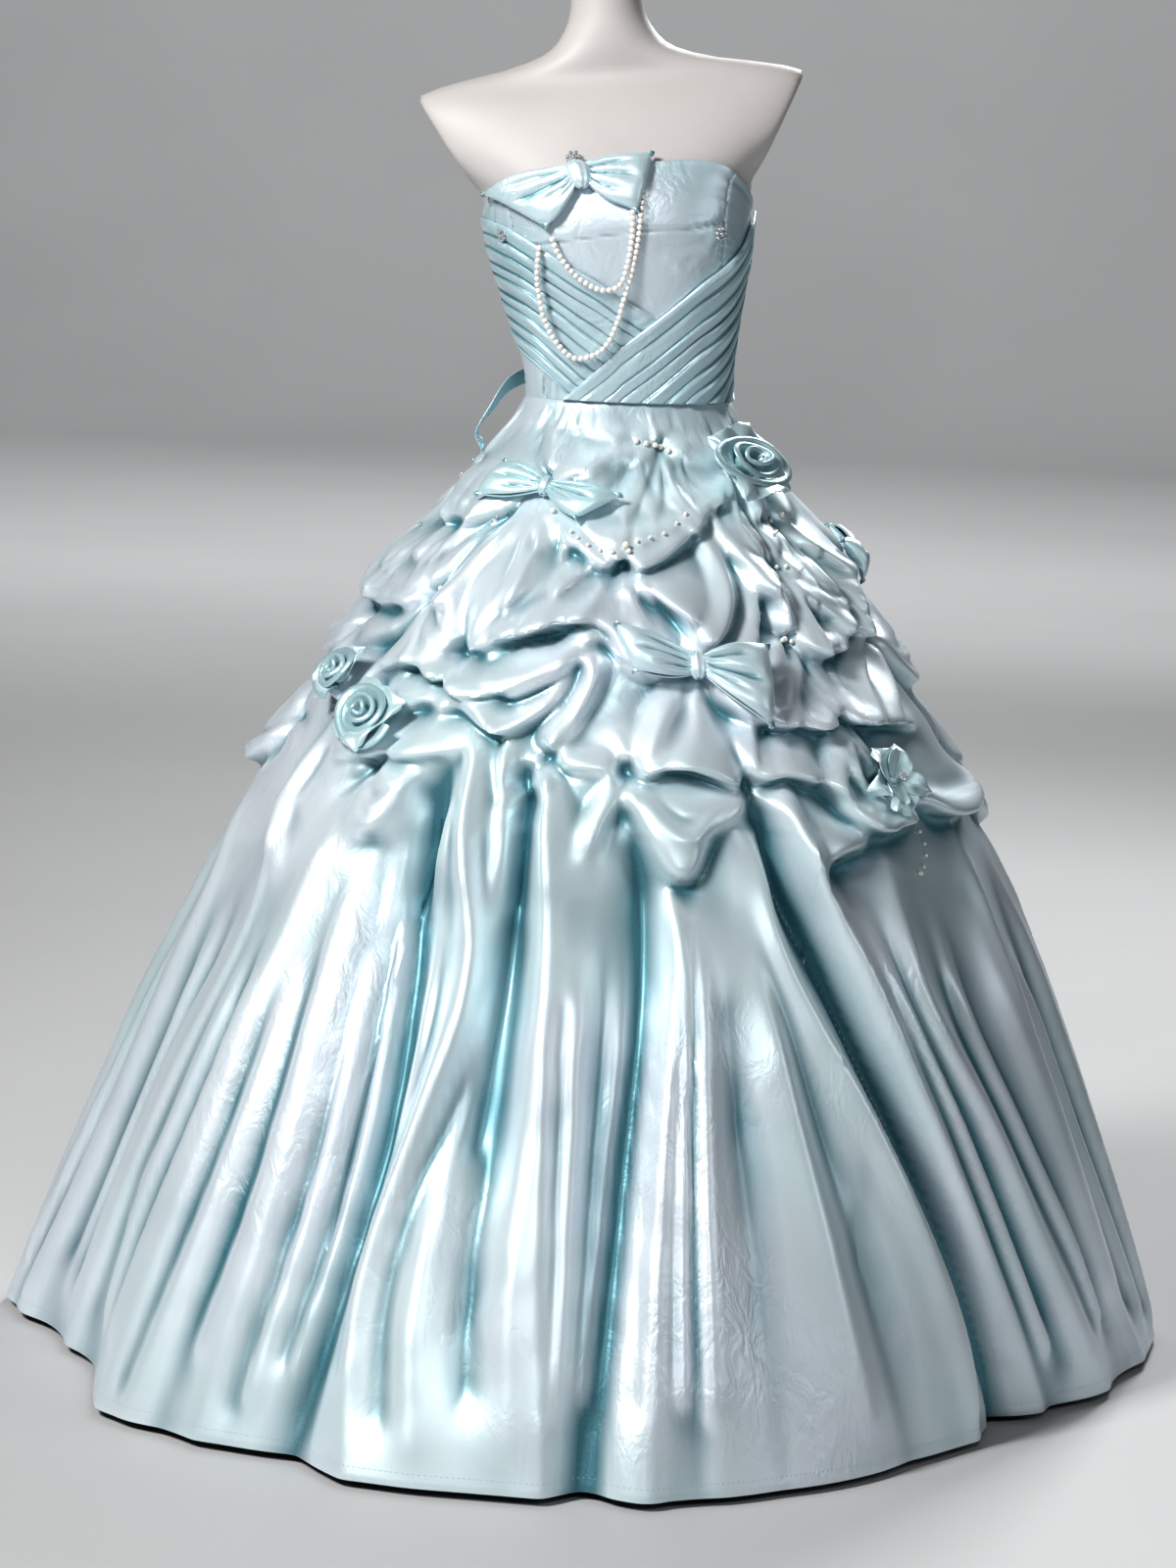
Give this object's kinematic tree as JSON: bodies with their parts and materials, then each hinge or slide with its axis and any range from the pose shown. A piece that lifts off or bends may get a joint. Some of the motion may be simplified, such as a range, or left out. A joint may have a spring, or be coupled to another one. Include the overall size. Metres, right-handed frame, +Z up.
{
  "type": "ball gown on dress form",
  "caption": "Strapless satin ball gown with pleated bodice wraps and picked-up swags, worn by a limbless dress form on a pole stand.",
  "frame": {"origin": "centre of the stand's base, on the floor", "axes": "+Z up along the pole, -Y towards the front of the gown, +X towards the viewer's right when facing the gown"},
  "size_m": [1.2391, 1.2358, 1.4537],
  "materials": {
    "satin": "pale aqua duchess satin, lustrous",
    "satin_trim": "aqua satin, lustrous",
    "pearl": "ivory pearl lustre",
    "form": "matte white",
    "stand_metal": "brushed"
  },
  "bodies": {
    "root": {"bodice_front": "satin", "bodice_side_left": "satin", "bodice_side_right": "satin", "bodice_back_left": "satin", "bodice_back_right": "satin", "wrap_left": "satin", "wrap_right": "satin", "skirt_front": "satin", "skirt_front_left": "satin", "skirt_front_right": "satin", "skirt_back": "satin", "skirt_back_left": "satin", "skirt_back_right": "satin", "neck_bow_loop_left": "satin_trim", "neck_bow_loop_right": "satin_trim", "neck_bow_knot": "satin_trim", "waist_bow_loop_left": "satin_trim", "waist_bow_loop_right": "satin_trim", "waist_bow_knot": "satin_trim", "hip_bow_loop_left": "satin_trim", "hip_bow_loop_right": "satin_trim", "hip_bow_knot": "satin_trim", "side_bow_loop_left": "satin_trim", "side_bow_loop_right": "satin_trim", "side_bow_knot": "satin_trim", "rose_waist": "satin_trim", "rose_hip_front": "satin_trim", "rose_hip_side": "satin_trim", "flower_hip": "satin_trim", "pearl_strand_short": "pearl", "pearl_strand_long": "pearl", "ribbon_tie": "satin_trim", "form_torso": "form", "stand_pole": "stand_metal", "stand_base": "stand_metal"}
  },
  "joints": []
}
